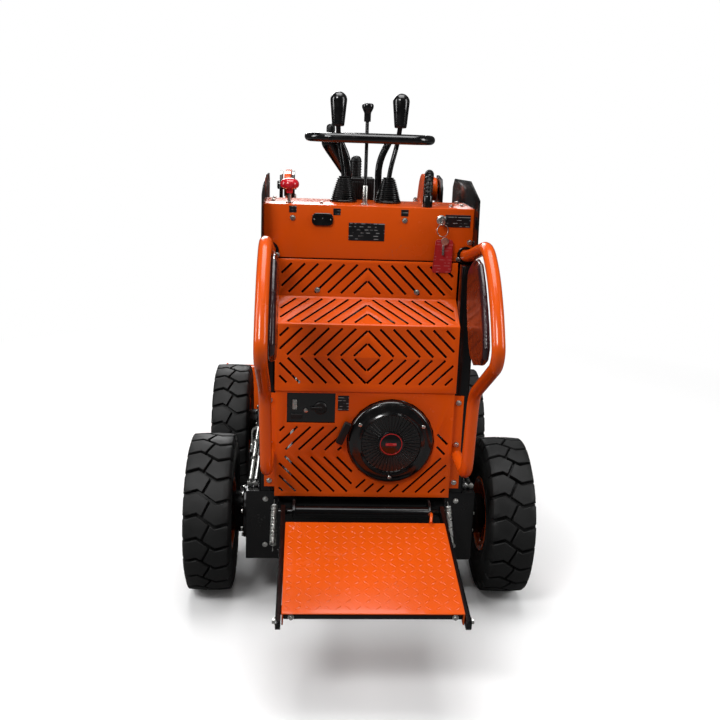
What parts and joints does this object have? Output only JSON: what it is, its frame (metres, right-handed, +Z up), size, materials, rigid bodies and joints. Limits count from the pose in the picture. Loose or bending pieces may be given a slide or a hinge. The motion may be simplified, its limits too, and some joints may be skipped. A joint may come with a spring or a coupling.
{
  "type": "mini skid steer loader",
  "caption": "Stand-on mini skid steer loader on pneumatic tyres, with lift arms, bucket, folding rear step, grab bars and lever console.",
  "frame": {"origin": "on the ground under the middle of the machine's overall length and width, bucket lowered", "axes": "+Y forward to the bucket, +X to the machine's right, +Z up"},
  "size_m": [1, 2.35, 1.4583],
  "materials": {
    "orange_paint": "satin gloss powder coat",
    "black_paint": "semi-gloss powder coat",
    "tyre_rubber": "matt moulded rubber",
    "engine_metal": "cast and painted",
    "black_plastic": "fine moulded grain",
    "red_plastic": "gloss",
    "hose_rubber": "spiral wrapped",
    "vinyl": "glossy grained vinyl",
    "bright_steel": "zinc plated",
    "rod_chrome": "polished",
    "worn_steel": "worn plate",
    "lamp_glass": "clear lens"
  },
  "bodies": {
    "machine": {"lower_rear_panel": "orange_paint", "upper_rear_guard": "orange_paint", "console_box": "orange_paint", "front_hood": "orange_paint", "grab_bar_left": "orange_paint", "grab_bar_right": "orange_paint", "chassis_frame": "black_paint", "body_frame": "black_paint", "side_plate_left": "black_paint", "side_plate_right": "black_paint", "arm_post_left": "black_paint", "arm_post_right": "black_paint", "hydraulic_tank": "black_paint", "hand_loop": "black_paint", "drive_hub_rear_left": "black_paint", "drive_hub_rear_right": "black_paint", "drive_hub_front_left": "black_paint", "drive_hub_front_right": "black_paint", "engine_block": "engine_metal", "recoil_starter": "black_plastic", "recoil_handle": "black_plastic", "air_filter_box": "black_plastic", "travel_lever_left": "black_plastic", "travel_lever_right": "black_plastic", "auxiliary_lever": "black_plastic", "loader_lever": "black_plastic", "stop_knob": "red_plastic", "console_hose": "hose_rubber", "hip_pad_left": "vinyl", "hip_pad_right": "vinyl", "work_light_left": "lamp_glass", "work_light_right": "lamp_glass"},
    "wheel_rear_left": {"tyre_rear_left": "tyre_rubber", "rim_rear_left": "orange_paint"},
    "wheel_rear_right": {"tyre_rear_right": "tyre_rubber", "rim_rear_right": "orange_paint"},
    "wheel_front_left": {"tyre_front_left": "tyre_rubber", "rim_front_left": "orange_paint"},
    "wheel_front_right": {"tyre_front_right": "tyre_rubber", "rim_front_right": "orange_paint"},
    "lift_arms": {"lift_arm_left": "orange_paint", "lift_arm_right": "orange_paint", "arm_cross_tube": "orange_paint"},
    "lift_cylinder_left": {"lift_barrel_left": "black_paint"},
    "lift_ram_left": {"lift_rod_left": "rod_chrome"},
    "lift_cylinder_right": {"lift_barrel_right": "black_paint"},
    "lift_ram_right": {"lift_rod_right": "rod_chrome"},
    "tilt_cylinder": {"tilt_barrel": "black_paint"},
    "tilt_ram": {"tilt_rod": "rod_chrome"},
    "attachment": {"coupler_plate": "black_paint", "bucket": "orange_paint", "cutting_edge": "worn_steel"},
    "platform": {"step_plate": "orange_paint", "platform_frame": "black_paint", "step_crossbar": "black_paint"},
    "return_spring_left": {"spring_left": "bright_steel"},
    "return_spring_right": {"spring_right": "bright_steel"}
  },
  "joints": [
    {"name": "wheel_rear_left_spin", "type": "hinge", "parent": "machine", "child": "wheel_rear_left", "pos_m": [-0.433, -0.48, 0.2325], "axis": [1, 0, 0], "continuous": true},
    {"name": "wheel_rear_right_spin", "type": "hinge", "parent": "machine", "child": "wheel_rear_right", "pos_m": [0.433, -0.48, 0.2325], "axis": [1, 0, 0], "continuous": true},
    {"name": "wheel_front_left_spin", "type": "hinge", "parent": "machine", "child": "wheel_front_left", "pos_m": [-0.433, 0.32, 0.2325], "axis": [1, 0, 0], "continuous": true},
    {"name": "wheel_front_right_spin", "type": "hinge", "parent": "machine", "child": "wheel_front_right", "pos_m": [0.433, 0.32, 0.2325], "axis": [1, 0, 0], "continuous": true},
    {"name": "lift_arms_raise", "type": "hinge", "parent": "machine", "child": "lift_arms", "pos_m": [0, -0.08, 1.175], "axis": [1, 0, 0], "range_deg": [0, 70]},
    {"name": "attachment_dump", "type": "hinge", "parent": "lift_arms", "child": "attachment", "pos_m": [0, 0.65, 0.165], "axis": [-1, 0, 0], "range_deg": [-20, 95]},
    {"name": "platform_fold", "type": "hinge", "parent": "machine", "child": "platform", "pos_m": [0, -0.685, 0.322], "axis": [-1, 0, 0], "range_deg": [0, 70]},
    {"name": "lift_cylinder_left_swing", "type": "hinge", "parent": "machine", "child": "lift_cylinder_left", "pos_m": [-0.286, -0.05, 0.44], "axis": [1, 0, 0], "range_deg": [-0.5, 8.21]},
    {"name": "lift_ram_left_slide", "type": "slide", "parent": "lift_cylinder_left", "child": "lift_ram_left", "axis": [0, 0.3353, 0.9421], "range_m": [-0.002, 0.3059]},
    {"name": "lift_cylinder_right_swing", "type": "hinge", "parent": "machine", "child": "lift_cylinder_right", "pos_m": [0.286, -0.05, 0.44], "axis": [1, 0, 0], "range_deg": [-0.5, 8.21]},
    {"name": "lift_ram_right_slide", "type": "slide", "parent": "lift_cylinder_right", "child": "lift_ram_right", "axis": [0, 0.3353, 0.9421], "range_m": [-0.002, 0.3059]},
    {"name": "tilt_cylinder_swing", "type": "hinge", "parent": "lift_arms", "child": "tilt_cylinder", "pos_m": [0, 0.53, 0.624], "axis": [1, 0, 0], "range_deg": [-1, 2]},
    {"name": "tilt_ram_slide", "type": "slide", "parent": "tilt_cylinder", "child": "tilt_ram", "axis": [0, 0.3729, -0.9279], "range_m": [-0.0249, 0.1109]},
    {"name": "return_spring_left_swing", "type": "hinge", "parent": "machine", "child": "return_spring_left", "pos_m": [-0.245, -0.66, 0.343], "axis": [-1, 0, 0], "range_deg": [-0.5, 55.85], "deforming": ["spring_left"]},
    {"name": "return_spring_right_swing", "type": "hinge", "parent": "machine", "child": "return_spring_right", "pos_m": [0.245, -0.66, 0.343], "axis": [-1, 0, 0], "range_deg": [-0.5, 55.85], "deforming": ["spring_right"]}
  ],
  "couplings": [
    {"joint": "lift_cylinder_left_swing", "follows": "lift_arms_raise", "ratio": 0.11301},
    {"joint": "lift_ram_left_slide", "follows": "lift_arms_raise", "m_per_rad": 0.24878},
    {"joint": "lift_cylinder_right_swing", "follows": "lift_arms_raise", "ratio": 0.11301},
    {"joint": "lift_ram_right_slide", "follows": "lift_arms_raise", "m_per_rad": 0.24878},
    {"joint": "tilt_cylinder_swing", "follows": "attachment_dump", "ratio": -0.01},
    {"joint": "tilt_ram_slide", "follows": "attachment_dump", "m_per_rad": 0.0657},
    {"joint": "return_spring_left_swing", "follows": "platform_fold", "ratio": 0.79364},
    {"joint": "return_spring_right_swing", "follows": "platform_fold", "ratio": 0.79364}
  ]
}
